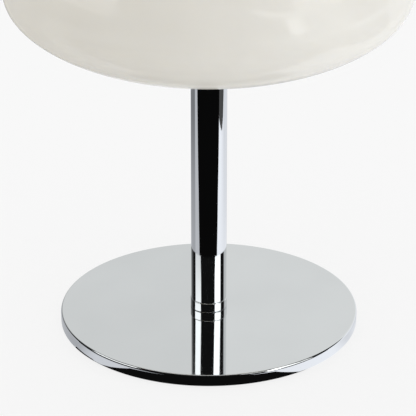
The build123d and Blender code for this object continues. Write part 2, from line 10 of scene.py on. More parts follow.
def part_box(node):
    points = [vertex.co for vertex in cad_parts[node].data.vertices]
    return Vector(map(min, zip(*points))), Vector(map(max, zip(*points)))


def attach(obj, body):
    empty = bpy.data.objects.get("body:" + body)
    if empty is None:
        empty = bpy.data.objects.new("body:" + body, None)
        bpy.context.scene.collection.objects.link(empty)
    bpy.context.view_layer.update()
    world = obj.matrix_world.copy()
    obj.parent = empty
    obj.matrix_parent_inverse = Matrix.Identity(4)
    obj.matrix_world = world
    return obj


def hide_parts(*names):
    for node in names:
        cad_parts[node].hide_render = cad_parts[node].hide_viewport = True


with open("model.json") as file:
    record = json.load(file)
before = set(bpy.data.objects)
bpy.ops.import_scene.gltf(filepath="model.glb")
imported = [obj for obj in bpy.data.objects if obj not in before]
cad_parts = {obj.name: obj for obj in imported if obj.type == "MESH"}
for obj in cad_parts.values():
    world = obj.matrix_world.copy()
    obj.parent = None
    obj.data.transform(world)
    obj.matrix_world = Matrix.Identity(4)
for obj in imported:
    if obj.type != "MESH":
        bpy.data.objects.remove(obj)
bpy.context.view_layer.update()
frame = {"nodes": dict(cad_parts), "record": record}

bl_info = {
    "name": "Glass Table Lamp",
    "version": (1, 0, 0),
    "blender": (4, 5, 0),
    "location": "View3D > Sidebar > Lamp",
    "description": "Builds the visible pieces of a chrome and glass table lamp around its frame",
    "category": "Object",
}

MM = 0.001
TURN = 2 * pi
WHITE = (1.0, 1.0, 1.0, 1.0)

# A radius below this is a point on the axis
ON_AXIS = 1e-7
# Share of a rounding by which the points that keep the flats beside it flat stand off
GUARD_SHARE = 0.05
# How far a cutter reaches past the faces that it cuts
OVERCUT = 1 * MM
# Half the angle of the countersinks
SINK_ANGLE = radians(41)
# Levels of points in each turn of a thread, and points around it
THREAD_LEVELS = 18
THREAD_SEGMENTS = 96
# How level a face of the ground ring is, and how near the seat of the glass
GROUND_NORMAL = 0.99
GROUND_REACH = 0.1 * MM
# The middle of a noise's range, where most of it lies
NOISE_MIDDLE = (0.3, 0.7)
# Facing weights between which the gloss of the glass falls
GLOSS_FALL = (0.48, 0.8)


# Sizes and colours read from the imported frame

def radius_of(node):
    """The largest distance of a turned node from the stem's axis."""
    low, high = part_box(node)
    return max(high.x, high.y, -low.x, -low.y)


def bottom_of(node):
    """The lowest level of a node."""
    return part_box(node)[0].z


def top_of(node):
    """The highest level of a node."""
    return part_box(node)[1].z


def slot_colour(name):
    """The record's colour of a material slot, with alpha."""
    for material in frame["record"]["materials"]:
        if material["slot"] == name:
            return tuple(material["base_color"][:3]) + (1.0,)
    raise ValueError(f"the record has no material slot {name}")


# Turned and threaded meshes

def rounded(corners, steps=6):
    """An outline of (radius, height) points from (radius, height, rounding) corners.

    A flat that meets a rounded corner gets one more point beside it, so that it stays flat in
    reflections.
    """
    outline = []
    for index, (r, z, rounding) in enumerate(corners):
        if not rounding:
            outline.append((r, z))
            continue
        corner = Vector((r, z))
        before = (Vector(corners[index - 1][:2]) - corner).normalized()
        after = (Vector(corners[(index + 1) % len(corners)][:2]) - corner).normalized()
        half_angle = before.angle(after) / 2
        reach = rounding / tan(half_angle)
        centre = corner + (before + after).normalized() * (rounding / sin(half_angle))
        first = corner + before * reach - centre
        last = corner + after * reach - centre
        start = atan2(first.y, first.x)
        sweep = (atan2(last.y, last.x) - start + pi) % TURN - pi
        guard = reach + rounding * GUARD_SHARE
        outline.append(tuple(corner + before * guard))
        for step in range(steps + 1):
            angle = start + sweep * step / steps
            outline.append((centre.x + rounding * cos(angle), centre.y + rounding * sin(angle)))
        outline.append(tuple(corner + after * guard))
    return outline


def turned_mesh(name, outline, segments=192, thread=None):
    """A closed mesh turned about the stem's axis from (radius, height) points.

    A point may have a third number, its share of the thread: thread gives the pitch and the
    depth, and the point's radius then swells by its share of the depth along a right-hand helix.
    """
    mesh = bpy.data.meshes.new(name)
    shell = bmesh.new()
    rings = []
    for r, z, *share in outline:
        if r < ON_AXIS:
            rings.append([shell.verts.new((0, 0, z))])
            continue
        ring = []
        for step in range(segments):
            angle = TURN * step / segments
            reach = r
            if share and share[0]:
                pitch, depth = thread
                reach += share[0] * depth * (0.5 + 0.5 * cos(TURN * z / pitch - angle))
            ring.append(shell.verts.new((reach * cos(angle), reach * sin(angle), z)))
        rings.append(ring)
    for index, ring in enumerate(rings):
        following = rings[(index + 1) % len(rings)]
        if len(ring) == 1 and len(following) == 1:
            continue
        for step in range(segments):
            after = (step + 1) % segments
            if len(ring) == 1:
                corners = (ring[0], following[step], following[after])
            elif len(following) == 1:
                corners = (ring[step], following[0], ring[after])
            else:
                corners = (ring[step], following[step], following[after], ring[after])
            shell.faces.new(corners)
    bmesh.ops.recalc_face_normals(shell, faces=shell.faces)
    shell.to_mesh(mesh)
    shell.free()
    return mesh


def ring_corners(inner, outer, bottom, top, inner_edge, outer_edge):
    """The corners of a plain ring's outline, with the rounding of its inner and outer edges."""
    return [
        (inner, bottom, inner_edge),
        (outer, bottom, outer_edge),
        (outer, top, outer_edge),
        (inner, top, inner_edge),
    ]


def thread_levels(low, high, fade, pitch):
    """(height, share of the thread) up a threaded wall; the thread fades in and out at its ends."""
    count = round((high - low) / pitch * THREAD_LEVELS)
    levels = []
    for step in range(count + 1):
        z = low + (high - low) * step / count
        share = min(1.0, (z - low) / fade, (high - z) / fade)
        levels.append((z, share * share * (3 - 2 * share)))
    return levels


def box_mesh(low, high):
    """A closed box between two corners."""
    mesh = bpy.data.meshes.new("box")
    shell = bmesh.new()
    bmesh.ops.create_cube(shell, size=1)
    for vertex in shell.verts:
        sides = zip(low, high, vertex.co)
        vertex.co = Vector([far if side > 0 else near for near, far, side in sides])
    shell.to_mesh(mesh)
    shell.free()
    return mesh


def hole_meshes(outline, ring, count=3):
    """Turned cutters with their axes on a ring round the stem, the first towards the front."""
    cutters = []
    for step in range(count):
        around = TURN * (step / count - 0.25)
        cutter = turned_mesh("hole", outline, segments=32)
        cutter.transform(Matrix.Translation((ring * cos(around), ring * sin(around), 0)))
        cutters.append(cutter)
    return cutters


def cut_away(name, mesh, cutters):
    """The mesh without the room that the cutters take; the mesh and the cutters are used up."""
    blank = bpy.data.objects.new(name, mesh)
    tools = [bpy.data.objects.new("cutter", cutter) for cutter in cutters]
    for spare in (blank, *tools):
        bpy.context.scene.collection.objects.link(spare)
    for tool in tools:
        cut = blank.modifiers.new("cut", "BOOLEAN")
        cut.operation = "DIFFERENCE"
        cut.solver = "EXACT"
        cut.object = tool
    solid = blank.evaluated_get(bpy.context.evaluated_depsgraph_get())
    result = bpy.data.meshes.new_from_object(solid)
    for spare in (blank, *tools):
        bpy.data.objects.remove(spare)
    for spare in (mesh, *cutters):
        bpy.data.meshes.remove(spare)
    result.name = name
    return result


def add_piece(name, mesh, body, replaced, material, sharp=35):
    """Links a mesh as a named piece that rides on a body and stands for CAD nodes."""
    mesh.shade_smooth()
    mesh.set_sharp_from_angle(angle=radians(sharp))
    piece = bpy.data.objects.new(name, mesh)
    bpy.context.scene.collection.objects.link(piece)
    mesh.materials.append(material)
    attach(piece, body)
    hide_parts(*replaced)
    return piece


# Nodes that the materials and the studio share

class Nodes:
    """Short calls that add and link the nodes of a material or a world."""

    def __init__(self, owner):
        owner.use_nodes = True
        self.tree = owner.node_tree

    def fill(self, socket, value):
        """Gives an input a value, or links it to an output."""
        if isinstance(value, bpy.types.NodeSocket):
            self.tree.links.new(value, socket)
        else:
            socket.default_value = value

    def fill_named(self, node, **values):
        """Fills inputs of a node by name; underscores stand for spaces."""
        for name, value in values.items():
            self.fill(node.inputs[name.replace("_", " ")], value)
        return node

    def add(self, kind, *values, **attributes):
        """Adds a node, sets its attributes and fills its first inputs."""
        node = self.tree.nodes.new(kind)
        for name, value in attributes.items():
            setattr(node, name, value)
        for socket, value in zip(node.inputs, values):
            self.fill(socket, value)
        return node

    def slope(self, value, start, end, low, high, shape="LINEAR"):
        """Goes from low to high while the value goes from start to end."""
        node = self.add(
            "ShaderNodeMapRange", value, start, end, low, high, interpolation_type=shape)
        return node.outputs[0]


class Finish(Nodes):
    """A procedural material on one principled shader, built up call by call."""

    def __init__(self, name):
        self.material = bpy.data.materials.new(name)
        super().__init__(self.material)
        self.shader = self.tree.nodes["Principled BSDF"]
        self.place = self.add("ShaderNodeTexCoord").outputs["Object"]

    def set(self, **values):
        """Fills inputs of the shader by name; underscores stand for spaces."""
        self.fill_named(self.shader, **values)

    def noise(self, size, detail=3.0, stretch=(1, 1, 1), distortion=0.0):
        """Cloudy noise with marks about size metres across, shorter along the stretched axes."""
        mapping = self.fill_named(self.add("ShaderNodeMapping", self.place), Scale=stretch)
        node = self.add("ShaderNodeTexNoise", mapping.outputs["Vector"])
        self.fill_named(node, Scale=1 / size, Detail=detail, Distortion=distortion)
        return node.outputs["Fac"]

    def spread(self, noise, low, high):
        """Spreads the middle of a noise from low to high."""
        return self.slope(noise, *NOISE_MIDDLE, low, high)

    def tones(self, noise, colour, darker, lighter):
        """Varies the surface between shades of a colour, given as shares of it."""
        node = self.add("ShaderNodeMix", self.spread(noise, 0, 1), data_type="RGBA")
        ends = [socket for socket in node.inputs if socket.type == "RGBA"]
        self.fill(ends[0], shaded(colour, -darker))
        self.fill(ends[1], shaded(colour, lighter))
        self.set(Base_Color=[socket for socket in node.outputs if socket.type == "RGBA"][0])

    def roughness(self, noise, low, high):
        """Varies the roughness between two values."""
        self.set(Roughness=self.spread(noise, low, high))

    def turned_gloss(self, facing, edge):
        """Lets the gloss fall from facing, seen straight on, to edge, seen along the surface."""
        weight = self.add("ShaderNodeLayerWeight", 0.5).outputs["Facing"]
        self.set(Specular_IOR_Level=self.slope(weight, *GLOSS_FALL, facing, edge))

    def relief(self, noise, depth, strength=1.0):
        """Raises the surface by a noise, depth metres high."""
        node = self.add("ShaderNodeBump")
        self.fill_named(node, Strength=strength, Distance=depth, Height=noise)
        self.set(Normal=node.outputs["Normal"])


class StageNodes(Nodes):
    """Arithmetic and plain shaders for the studio, in a cleared tree."""

    def __init__(self, owner):
        super().__init__(owner)
        self.tree.nodes.clear()

    def math(self, operation, *values):
        """One step of arithmetic."""
        return self.add("ShaderNodeMath", *values, operation=operation).outputs[0]

    def ramp(self, value, start, end, low=0.0, high=1.0):
        """Goes smoothly from low to high while the value goes from start to end."""
        return self.slope(value, start, end, low, high, "SMOOTHSTEP")

    def band(self, value, low, high, soft):
        """1 between two limits and 0 outside them, with soft edges."""
        rise = self.ramp(value, low - soft, low + soft)
        return self.math("MULTIPLY", rise, self.ramp(value, high - soft, high + soft, 1.0, 0.0))

    def between(self, factor, first, second):
        """A number between two others."""
        return self.math("MULTIPLY_ADD", factor, self.math("SUBTRACT", second, first), first)

    def glow(self, colour, strength):
        """A surface that shines evenly."""
        return self.add("ShaderNodeEmission", colour, strength).outputs[0]

    def sky(self, colour, strength):
        """A surrounding that shines evenly."""
        return self.add("ShaderNodeBackground", colour, strength).outputs[0]

    def mix(self, factor, first, second):
        """One shader or the other."""
        return self.add("ShaderNodeMixShader", factor, first, second).outputs[0]

    def axes(self, output):
        """The three coordinates of a place."""
        place = self.add("ShaderNodeTexCoord").outputs[output]
        return self.add("ShaderNodeSeparateXYZ", place).outputs


# Materials

def shaded(colour, share):
    """A colour made lighter or darker by a share."""
    return tuple(min(1.0, channel * (1 + share)) for channel in colour[:3]) + (1.0,)


def mirror_chrome(colour):
    """Polished chrome plate with a slight haze, fine wipe marks and a faint ripple."""
    finish = Finish("mirror_chrome")
    finish.set(Metallic=1.0)
    haze = finish.noise(60 * MM, detail=2)
    wipes = finish.noise(6 * MM, detail=5, stretch=(1, 7, 1), distortion=0.4)
    finish.tones(haze, colour, 0.02, 0.02)
    finish.roughness(wipes, 0.02, 0.055)
    finish.relief(haze, 0.02 * MM, 0.2)
    return finish.material


def opal_glass(colour):
    """Glossy opal glass: milky body, faint cloud in the colour and an uneven blown surface."""
    finish = Finish("opal_glass")
    finish.set(
        IOR=1.5,
        Subsurface_Weight=0.25,
        Subsurface_Radius=(6 * MM, 5.5 * MM, 4.5 * MM),
        Subsurface_Scale=1.0,
    )
    finish.turned_gloss(0.22, 0.006)
    finish.tones(finish.noise(70 * MM, detail=4, distortion=1.2), colour, 0.018, 0.018)
    finish.roughness(finish.noise(25 * MM, detail=3), 0.03, 0.07)
    finish.relief(finish.noise(55 * MM, detail=1), 0.4 * MM, 0.25)
    return finish.material


def ground_glass(colour):
    """The matt ground ring that the shade stands on."""
    finish = Finish("ground_glass")
    finish.set(IOR=1.5)
    grit = finish.noise(0.4 * MM, detail=2)
    finish.tones(grit, colour, 0.06, 0.02)
    finish.roughness(grit, 0.55, 0.75)
    finish.relief(grit, 0.03 * MM, 0.6)
    return finish.material


def frosted_globe(colour):
    """Frosted diffuser plastic of the bulb."""
    finish = Finish("frosted_globe")
    finish.set(
        IOR=1.49,
        Subsurface_Weight=0.4,
        Subsurface_Radius=(5 * MM, 5 * MM, 4.5 * MM),
        Subsurface_Scale=1.0,
    )
    frost = finish.noise(0.6 * MM, detail=3)
    finish.tones(finish.noise(12 * MM), colour, 0.03, 0.01)
    finish.roughness(frost, 0.34, 0.5)
    finish.relief(frost, 0.015 * MM, 0.5)
    return finish.material


def clear_silicone(colour):
    """Milky silicone rubber of the ring under the glass."""
    finish = Finish("clear_silicone")
    finish.set(
        IOR=1.41,
        Subsurface_Weight=0.5,
        Subsurface_Radius=(2 * MM, 2 * MM, 2 * MM),
        Subsurface_Scale=1.0,
    )
    skin = finish.noise(2 * MM, detail=3)
    finish.tones(skin, colour, 0.06, 0.03)
    finish.roughness(skin, 0.38, 0.55)
    finish.relief(skin, 0.02 * MM, 0.4)
    return finish.material


def machined_metal(slot, low, high, mark, spread):
    """Turned or plated metal with fine tool marks round the axis."""
    finish = Finish(slot)
    finish.set(Metallic=1.0)
    marks = finish.noise(mark, detail=4, stretch=(0.25, 0.25, 6))
    stain = finish.noise(9 * MM, detail=3)
    finish.tones(stain, slot_colour(slot), spread, spread / 2)
    finish.roughness(marks, low, high)
    finish.relief(marks, 0.01 * MM, 0.5)
    return finish.material


def moulded_plastic(slot, low, high, grain, spread, depth):
    """Moulded, pressed or foamed material with a fine grain."""
    finish = Finish(slot)
    texture = finish.noise(grain, detail=4)
    blush = finish.noise(grain * 14, detail=2)
    finish.tones(blush, slot_colour(slot), spread, spread)
    finish.roughness(texture, low, high)
    finish.relief(texture, depth, 0.6)
    return finish.material


# Slot: lowest and highest roughness, size of the marks, spread of the colour
METALS = {
    "zinc_steel": (0.24, 0.42, 0.5 * MM, 0.08),
    "brass": (0.2, 0.36, 0.4 * MM, 0.07),
    "nickel_shell": (0.16, 0.3, 0.5 * MM, 0.06),
    "bronze_spring": (0.25, 0.4, 0.5 * MM, 0.08),
    "solder_tip": (0.3, 0.48, 0.8 * MM, 0.1),
}

# Slot: lowest and highest roughness, size of the grain, spread of the colour, depth of the grain
PLASTICS = {
    "black_foam": (0.82, 0.97, 0.6 * MM, 0.3, 0.12 * MM),
    "black_nylon": (0.38, 0.55, 0.4 * MM, 0.15, 0.02 * MM),
    "white_holder": (0.32, 0.46, 0.5 * MM, 0.02, 0.012 * MM),
    "cream_ceramic": (0.5, 0.7, 0.7 * MM, 0.04, 0.03 * MM),
    "natural_nylon": (0.34, 0.5, 0.6 * MM, 0.04, 0.02 * MM),
    "brown_wire": (0.35, 0.5, 0.5 * MM, 0.08, 0.012 * MM),
    "blue_wire": (0.35, 0.5, 0.5 * MM, 0.08, 0.012 * MM),
    "black_glass": (0.06, 0.16, 0.8 * MM, 0.15, 0.01 * MM),
    "white_bulb_plastic": (0.25, 0.4, 0.5 * MM, 0.02, 0.01 * MM),
    "white_board": (0.35, 0.5, 0.4 * MM, 0.03, 0.01 * MM),
    "yellow_phosphor": (0.3, 0.5, 0.2 * MM, 0.08, 0.015 * MM),
    "green_board": (0.3, 0.45, 0.4 * MM, 0.12, 0.012 * MM),
    "component_black": (0.28, 0.42, 0.6 * MM, 0.15, 0.01 * MM),
}


def finish_of(slot):
    """The material of a record slot, made once and then shared."""
    made = bpy.data.materials.get(slot)
    if made and made.get("lamp_finish"):
        return made
    colours = bpy.context.scene.lamp_colours
    if slot == "mirror_chrome":
        made = mirror_chrome(tuple(colours.chrome) + (1.0,))
    elif slot == "opal_glass":
        made = opal_glass(tuple(colours.glass) + (1.0,))
    elif slot == "frosted_globe":
        made = frosted_globe(slot_colour(slot))
    elif slot == "clear_silicone":
        made = clear_silicone(slot_colour(slot))
    elif slot in METALS:
        made = machined_metal(slot, *METALS[slot])
    else:
        made = moulded_plastic(slot, *PLASTICS[slot])
    made["lamp_finish"] = True
    return made


def dress_nodes(*names):
    """Gives CAD nodes that keep their own shape the material of their record slot."""
    slots = {part["node"]: part["material_slot"] for part in frame["record"]["subparts"]}
    for name in names:
        node = frame["nodes"][name]
        if not node.material_slots:
            node.data.materials.append(None)
        for material_slot in node.material_slots:
            material_slot.material = finish_of(slots[name])


# What a user may change

def length(name, description, millimetres):
    """A property for a length."""
    return bpy.props.FloatProperty(
        name=name, description=description, default=millimetres * MM, unit="LENGTH")


def level(name, description, default):
    """A property for the brightness of a light or of what reflections show."""
    return bpy.props.FloatProperty(name=name, description=description, default=default, min=0)


def tint(name, description, default):
    """A property for a colour."""
    return bpy.props.FloatVectorProperty(
        name=name, description=description, subtype="COLOR", size=3, min=0, max=1, default=default)


class LampSizes(bpy.types.PropertyGroup):
    """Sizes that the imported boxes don't give."""

    belly: length("Belly", "Depth of the glass below its widest level", 53.7)
    wall: length("Glass wall", "Thickness of the glass", 4)
    mouth: length("Mouth radius", "Radius of the hole in the foot of the glass", 26)
    mouth_edge: length("Mouth edge", "Rounding of the mouth of the glass", 1)
    foot_edge: length("Foot edge", "Rounding of the outer edge of the glass's foot", 0.6)
    tube_wall: length("Tube wall", "Thickness of the stem's tube", 1.5)
    tube_edge: length("Tube edge", "Rounding of the ends of the stem's tube", 0.35)
    pilot: length("Pilot radius", "Radius of the gallery's step inside the glass", 25.5)
    gallery_edge: length("Gallery edge", "Rounding of the gallery's edges", 0.8)
    base_edge: length("Base edge", "Height of the base plate's rounded upper edge", 2)
    base_edge_width: length("Base edge width", "Width of the base plate's rounded upper edge", 1.1)
    base_foot_edge: length("Base foot edge", "Rounding of the base plate's lower edge", 0.6)
    pad_edge: length("Pad edge", "Rounding of the foam pad's edges", 0.3)
    wire_bore: length("Wire hole radius", "Radius of the hole for the wires", 4)
    collar_edge: length("Collar edge", "Rounding of the foot collar's edges", 0.6)
    spigot_edge: length("Spigot edge", "Rounding of the collar's spigot inside the tube", 0.4)
    screw_ring: length("Screw ring", "Radius of the ring of the foot screws", 8.45)
    screw_hole: length("Screw hole radius", "Radius of the holes for the foot screws", 2.05)
    screw_head: length("Screw head room", "Radius of the countersinks", 3.75)
    screw_tip: length("Screw tip room", "Depth of the holes beyond the foot screws", 1)
    fit: length("Fit", "Gap between pieces that are fitted together", 0.05)
    globe_wall: length("Globe wall", "Thickness of the bulb's globe", 1.2)
    cap_wall: length("Cap wall", "Thickness of the bulb's metal cap", 0.5)
    cap_collar: length("Cap collar", "Height of the plain collar of the bulb's cap", 3.8)
    cap_step: length("Cap step", "Half the height of the step from thread to collar", 0.3)
    cap_hole: length("Cap hole radius", "Radius of the hole under the bulb's cap", 3.7)
    shell_wall: length("Shell wall", "Thickness of the lampholder's screw shell", 0.6)
    shell_bore: length("Shell bore", "Radius of the screw shell's plain mouth", 7.15)
    shell_hole: length("Shell hole radius", "Radius of the hole in the screw shell's floor", 3.8)
    shell_foot: length("Shell foot", "Height of the screw shell's wall below its thread", 1.5)
    shell_mouth: length("Shell mouth", "Height of the screw shell's wall above its thread", 2.4)
    pitch: length("Thread pitch", "Pitch of the bulb's screw thread", 2.822)
    thread_depth: length("Thread depth", "Depth of the bulb's screw thread", 0.8)
    thread_fade: length("Thread fade", "Height in which a thread fades in or out", 1.2)


class LampColours(bpy.types.PropertyGroup):
    """Colours of the finishes that show most."""

    glass: tint("Glass", "Body colour of the opal glass", (0.86, 0.825, 0.745))
    chrome: tint("Chrome", "Colour of the plated metal", slot_colour("mirror_chrome")[:3])


class LampStage(bpy.types.PropertyGroup):
    """The plain studio round the lamp."""

    paper: level("Paper", "Brightness of the pale floor and background", 0.942)
    room: level("Room light", "Even light from all sides", 0.57)
    top: level("Top light", "Brightness of the soft light overhead", 0.62)
    key: level("Right light", "Brightness of the soft light on the right", 4.05)
    fill: level("Left light", "Brightness of the soft light on the left", 0.7)
    rear: level("Rear light", "Brightness of the soft light behind the lamp", 1.3)
    right_panel: level("Right panel", "Brightness of the right panel in reflections", 2.7)
    left_panel: level("Left panel", "Brightness of the left panel in reflections", 2.12)
    backdrop: level("Backdrop", "Brightness of the backdrop in reflections", 0.95)
    ceiling: level("Ceiling", "Brightness of the ceiling in reflections", 0.75)


# One operator for each group of pieces

class LAMP_OT_glass_shade(bpy.types.Operator):
    """Build the blown opal glass shade with its ground foot"""

    bl_idname = "lamp.glass_shade"
    bl_label = "Glass Shade"

    def execute(self, context):
        sizes = context.scene.lamp_sizes
        outer = radius_of("glass_shade")
        seat = bottom_of("glass_shade")
        seat_radius = radius_of("gallery_gasket")
        equator = seat + sizes.belly * sqrt(1 - (seat_radius / outer) ** 2)
        crown = top_of("glass_shade") - equator
        inner = outer - sizes.wall
        foot_angle = acos(seat_radius / outer)
        mouth_angle = acos(sizes.mouth / inner)
        steps = 56

        def wall_points(radius, belly, dome, start):
            """Points of half ellipses, from a start angle below the widest level to the top."""
            angles = [-start * (1 - step / steps) for step in range(steps)]
            angles += [pi / 2 * step / steps for step in range(steps)]
            points = []
            for angle in angles:
                height = belly if angle < 0 else dome
                points.append((radius * cos(angle), equator + height * sin(angle), 0))
            return points + [(0, equator + dome, 0)]

        outside = wall_points(outer, sizes.belly, crown, foot_angle)
        outside[0] = outside[0][:2] + (sizes.foot_edge,)
        inside = wall_points(inner, sizes.belly - sizes.wall, crown - sizes.wall, mouth_angle)
        inside[0] = inside[0][:2] + (sizes.mouth_edge,)
        foot = [(sizes.mouth, seat, sizes.mouth_edge)]
        outline = rounded(outside + inside[::-1] + foot)
        mesh = turned_mesh("glass_shade_blown", outline, segments=224)
        glass = finish_of("opal_glass")
        add_piece(
            "glass_shade_blown", mesh, "shade", ["glass_shade"], glass, sharp=50)
        mesh.materials.append(ground_glass(tuple(context.scene.lamp_colours.glass)))
        for face in mesh.polygons:
            if abs(face.normal.z) > GROUND_NORMAL and face.center.z < seat + GROUND_REACH:
                face.material_index = 1
        return {"FINISHED"}


class LAMP_OT_base(bpy.types.Operator):
    """Build the base plate, the foot collar and the foam pad, and dress the screws and the gland"""

    bl_idname = "lamp.base"
    bl_label = "Base"

    def execute(self, context):
        sizes = context.scene.lamp_sizes
        self.plate(sizes)
        self.collar(sizes)
        self.pad(sizes)
        dress_nodes("foot_screws", "cord_gland")
        return {"FINISHED"}

    def plate(self, sizes):
        """The base plate, with the gland's slot and the countersunk holes underneath."""
        radius = radius_of("base_plate")
        low, high = bottom_of("base_plate"), top_of("base_plate")
        guard = 1 + GUARD_SHARE
        steps = 14
        crest = [(radius, high - guard * sizes.base_edge, 0)]
        for step in range(steps + 1):
            angle = pi / 2 * step / steps
            inward = sizes.base_edge_width * (1 - cos(angle))
            crest.append((radius - inward, high - sizes.base_edge * (1 - sin(angle)), 0))
        crest.append((radius - guard * sizes.base_edge_width, high, 0))
        corners = [(sizes.wire_bore, low, 0), (radius, low, sizes.base_foot_edge), *crest]
        corners.append((sizes.wire_bore, high, 0))
        blank = turned_mesh("base_plate_blank", rounded(corners), segments=288)
        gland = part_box("cord_gland")[1]
        slot = box_mesh(
            (-gland.x - sizes.fit, 0, low - OVERCUT),
            (gland.x + sizes.fit, radius + OVERCUT, gland.z + sizes.fit),
        )
        sink = (sizes.screw_head - sizes.screw_hole) / tan(SINK_ANGLE)
        hole = [
            (0, low - OVERCUT), (sizes.screw_head, low - OVERCUT), (sizes.screw_head, low),
            (sizes.screw_hole, low + sink), (sizes.screw_hole, high + OVERCUT), (0, high + OVERCUT),
        ]
        cutters = [slot] + hole_meshes(hole, sizes.screw_ring)
        mesh = cut_away("base_plate_polished", blank, cutters)
        chrome = finish_of("mirror_chrome")
        add_piece("base_plate_polished", mesh, "stand", ["base_plate"], chrome)

    def collar(self, sizes):
        """The foot collar, with its spigot in the tube and its tapped holes."""
        radius = radius_of("foot_collar")
        low, high = bottom_of("foot_collar"), top_of("foot_collar")
        shoulder = bottom_of("stem_tube")
        spigot = radius_of("stem_tube") - sizes.tube_wall - sizes.fit
        corners = [
            (sizes.wire_bore, low, 0), (radius, low, sizes.collar_edge),
            (radius, shoulder, sizes.collar_edge), (spigot, shoulder, 0),
            (spigot, high, sizes.spigot_edge), (sizes.wire_bore, high, 0),
        ]
        blank = turned_mesh("foot_collar_blank", rounded(corners, steps=8), segments=192)
        end = top_of("foot_screws") + sizes.screw_tip
        start = low - OVERCUT
        hole = [(0, start), (sizes.screw_hole, start), (sizes.screw_hole, end), (0, end)]
        mesh = cut_away("foot_collar_polished", blank, hole_meshes(hole, sizes.screw_ring))
        chrome = finish_of("mirror_chrome")
        add_piece("foot_collar_polished", mesh, "stand", ["foot_collar"], chrome)

    def pad(self, sizes):
        """The foam pad under the plate."""
        radius, low, high = radius_of("base_pad"), bottom_of("base_pad"), top_of("base_pad")
        corners = ring_corners(0, radius, low, high, 0, sizes.pad_edge)
        mesh = turned_mesh("foam_pad", rounded(corners, steps=3))
        foam = finish_of("black_foam")
        pad = add_piece("foam_pad", mesh, "stand", ["base_pad"], foam)


class LAMP_OT_stem(bpy.types.Operator):
    """Build the polished stem tube and the gallery that carries the glass"""

    bl_idname = "lamp.stem"
    bl_label = "Stem"

    def execute(self, context):
        sizes = context.scene.lamp_sizes
        chrome = finish_of("mirror_chrome")
        radius, low, high = radius_of("stem_tube"), bottom_of("stem_tube"), top_of("stem_tube")
        corners = ring_corners(radius - sizes.tube_wall, radius, low, high, 0, sizes.tube_edge)
        mesh = turned_mesh("stem_tube_polished", rounded(corners))
        add_piece("stem_tube_polished", mesh, "stand", ["stem_tube"], chrome)
        hole = radius_of("threaded_nipple") + sizes.fit
        disc, disc_top = radius_of("shade_gallery"), bottom_of("gallery_gasket")
        low, high = bottom_of("shade_gallery"), top_of("shade_gallery")
        corners = [
            (hole, low, 0), (disc, low, sizes.gallery_edge), (disc, disc_top, sizes.gallery_edge),
            (sizes.pilot, disc_top, 0), (sizes.pilot, high, sizes.gallery_edge), (hole, high, 0),
        ]
        mesh = turned_mesh("shade_gallery_turned", rounded(corners))
        add_piece("shade_gallery_turned", mesh, "stand", ["shade_gallery"], chrome)
        dress_nodes(
            "stem_top_plug", "threaded_nipple", "gallery_gasket", "lock_washer", "nipple_nut")
        return {"FINISHED"}


class LAMP_OT_lampholder(bpy.types.Operator):
    """Build the lampholder's threaded shell and dress its moulded and metal pieces"""

    bl_idname = "lamp.lampholder"
    bl_label = "Lampholder"

    def execute(self, context):
        sizes = context.scene.lamp_sizes
        low, high = bottom_of("screw_shell"), top_of("screw_shell")
        foot, floor = radius_of("screw_shell"), low + sizes.shell_wall
        bore, outer = sizes.shell_bore, sizes.shell_bore + sizes.shell_wall
        start, end = floor + sizes.shell_foot, high - sizes.shell_mouth
        levels = thread_levels(start, end, sizes.thread_fade, sizes.pitch)
        outside = [(outer - sizes.thread_depth * share, z, share) for z, share in levels]
        inside = [(bore - sizes.thread_depth * share, z, share) for z, share in levels]
        outline = [(sizes.shell_hole, low), (foot, low), (foot, floor), (outer, floor)]
        outline += outside + [(outer, high), (bore, high)] + inside[::-1]
        outline += [(bore, floor), (sizes.shell_hole, floor)]
        thread = (sizes.pitch, sizes.thread_depth)
        mesh = turned_mesh("screw_shell_rolled", outline, THREAD_SEGMENTS, thread)
        nickel = finish_of("nickel_shell")
        add_piece("screw_shell_rolled", mesh, "stand", ["screw_shell"], nickel)
        dress_nodes(
            "holder_cap", "holder_grub_screw", "holder_skirt", "holder_insert", "terminal_blocks",
            "terminal_screws", "centre_contact",
        )
        return {"FINISHED"}


